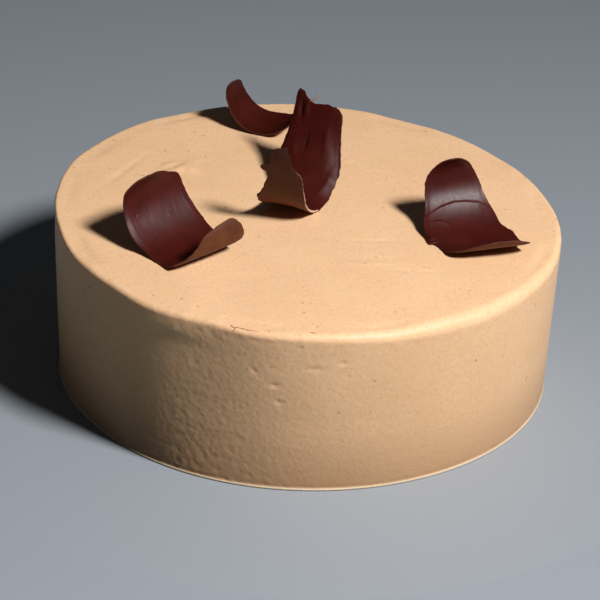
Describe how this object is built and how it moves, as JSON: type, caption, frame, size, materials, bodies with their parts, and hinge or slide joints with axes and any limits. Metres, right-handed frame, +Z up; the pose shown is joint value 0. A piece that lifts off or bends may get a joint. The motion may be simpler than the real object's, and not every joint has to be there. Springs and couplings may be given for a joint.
{
  "type": "chocolate chiffon cake",
  "caption": "Whole round chiffon cake, smoothly coated in pale coffee cream, with curled chocolate shavings standing on its flat top.",
  "frame": {"origin": "middle of the flat underside", "axes": "+Z up; -Y towards the side that faces the viewer; +X to the viewer's right"},
  "size_m": [0.2, 0.2033, 0.1046],
  "materials": {
    "coffee_cream": "smooth whipped coffee cream, satin, with fine specks",
    "dark_chocolate": "dark chocolate, glossy inside the roll and matte outside"
  },
  "bodies": {
    "root": {"cake": "coffee_cream", "curl_left": "dark_chocolate", "curl_back": "dark_chocolate", "curl_centre": "dark_chocolate", "curl_right": "dark_chocolate"}
  },
  "joints": []
}
